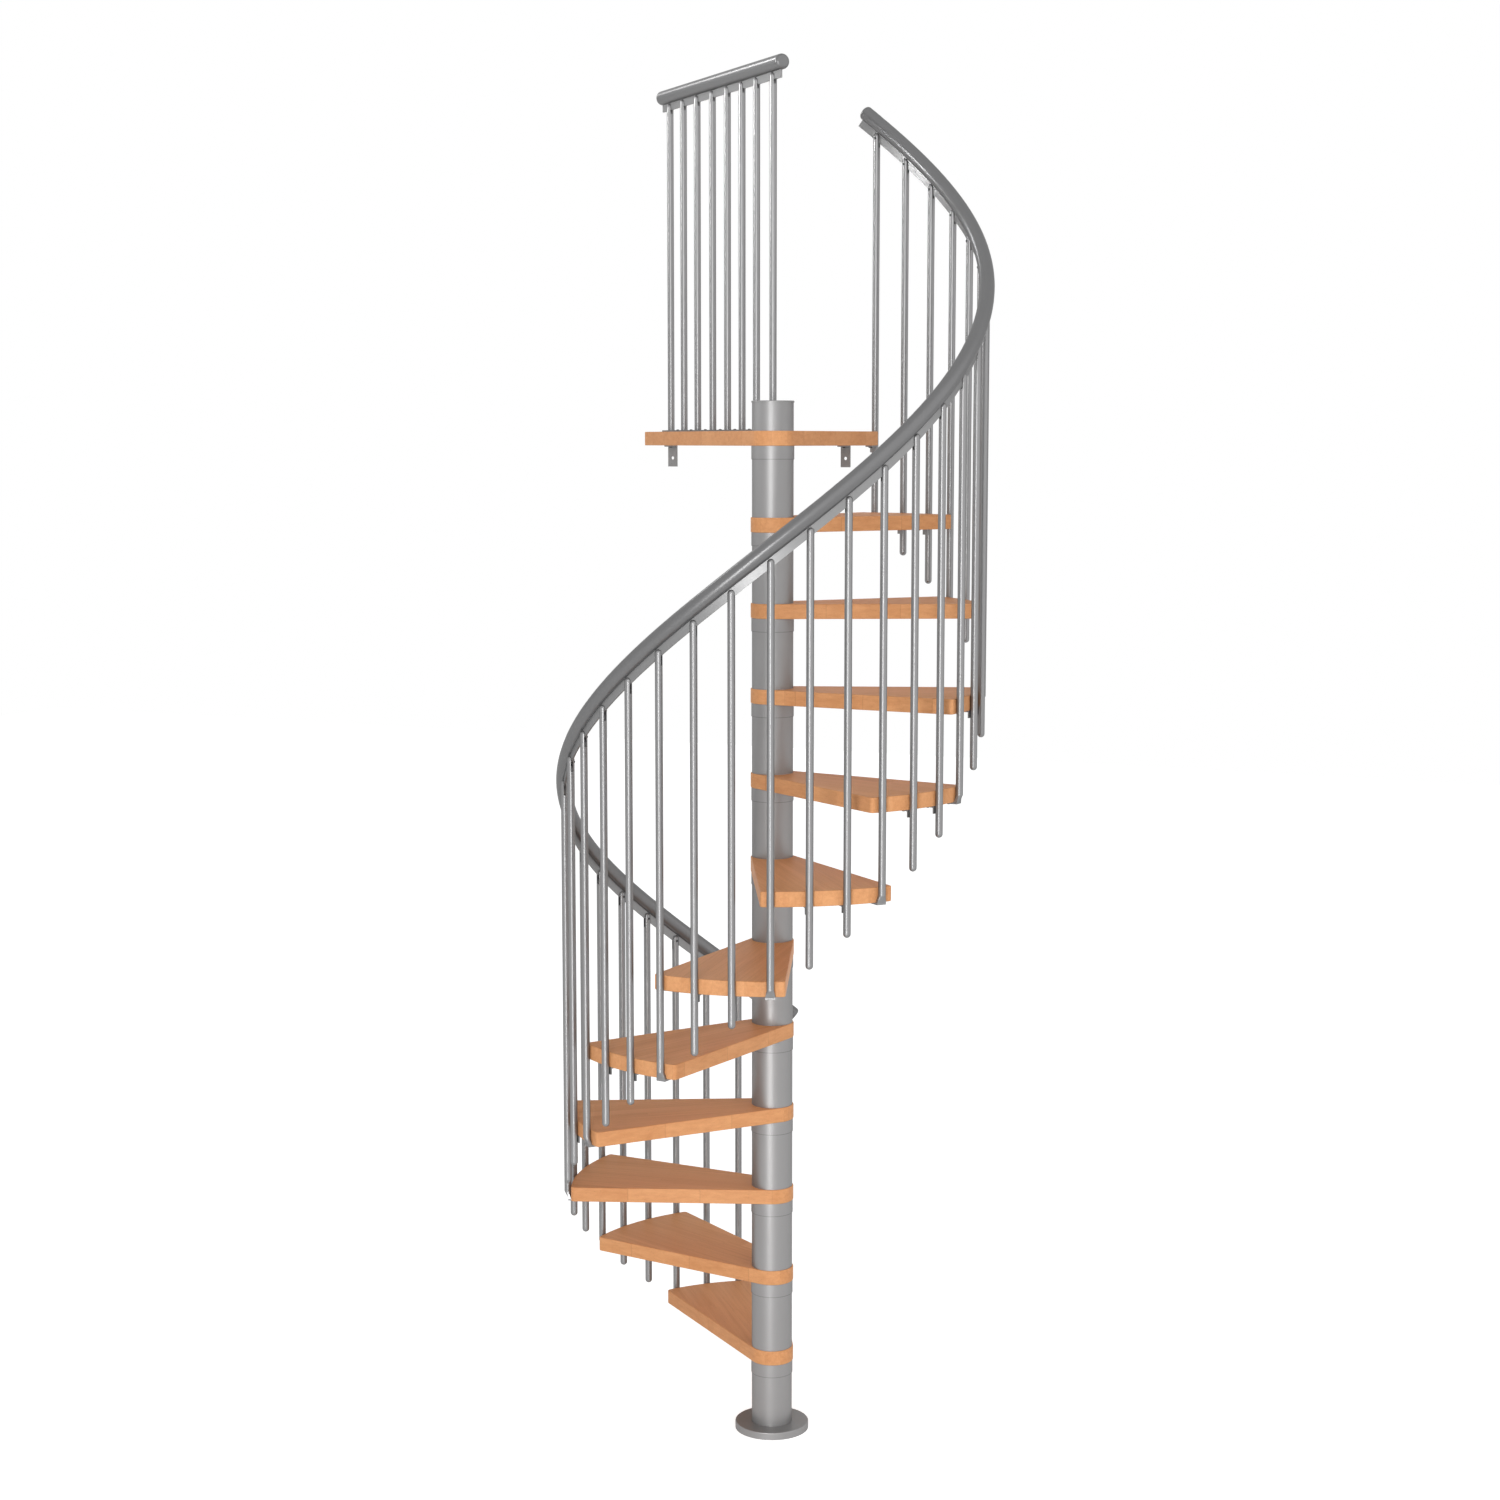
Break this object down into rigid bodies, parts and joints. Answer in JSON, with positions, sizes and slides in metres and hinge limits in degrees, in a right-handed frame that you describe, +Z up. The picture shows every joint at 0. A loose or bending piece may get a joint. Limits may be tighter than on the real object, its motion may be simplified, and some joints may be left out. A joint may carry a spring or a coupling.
{
  "type": "spiral staircase",
  "caption": "Spiral staircase with wedge-shaped beech treads on a round steel column, slotted metal balusters, a helical handrail and a triangular landing with its own straight railing.",
  "frame": {"origin": "on the floor, at the centre of the base plate's underside, on the column's axis", "axes": "+Z up along the column; X along the landing's straight back edge; +Y from the column towards that edge, where the landing is fixed to the upper floor"},
  "size_m": [1.2778, 1.2047, 3.8629],
  "materials": {
    "beech": "clear lacquered beech",
    "column_paint": "silver grey paint",
    "bar_metal": "silver paint, satin",
    "rail_grey": "mid grey paint, satin",
    "fitting_metal": "grey paint, satin"
  },
  "bodies": {
    "root": {"base_plate": "column_paint", "core_pole": "column_paint", "spacer_tube_01": "column_paint", "spacer_tube_02": "column_paint", "spacer_tube_03": "column_paint", "spacer_tube_04": "column_paint", "spacer_tube_05": "column_paint", "spacer_tube_06": "column_paint", "spacer_tube_07": "column_paint", "spacer_tube_08": "column_paint", "spacer_tube_09": "column_paint", "spacer_tube_10": "column_paint", "spacer_tube_11": "column_paint", "spacer_tube_12": "column_paint", "distance_rings": "column_paint", "column_head": "column_paint", "column_cap": "column_paint", "tread_01": "beech", "tread_02": "beech", "tread_03": "beech", "tread_04": "beech", "tread_05": "beech", "tread_06": "beech", "tread_07": "beech", "tread_08": "beech", "tread_09": "beech", "tread_10": "beech", "tread_11": "beech", "landing": "beech", "balusters_01": "bar_metal", "balusters_02": "bar_metal", "balusters_03": "bar_metal", "balusters_04": "bar_metal", "balusters_05": "bar_metal", "balusters_06": "bar_metal", "balusters_07": "bar_metal", "balusters_08": "bar_metal", "balusters_09": "bar_metal", "balusters_10": "bar_metal", "balusters_11": "bar_metal", "baluster_start": "bar_metal", "tread_clips": "fitting_metal", "handrail": "rail_grey", "handrail_fin": "fitting_metal", "rail_caps": "rail_grey", "landing_handrail": "rail_grey", "landing_fin": "fitting_metal", "landing_strip": "fitting_metal", "landing_balusters": "bar_metal", "wall_brackets": "fitting_metal"}
  },
  "joints": []
}
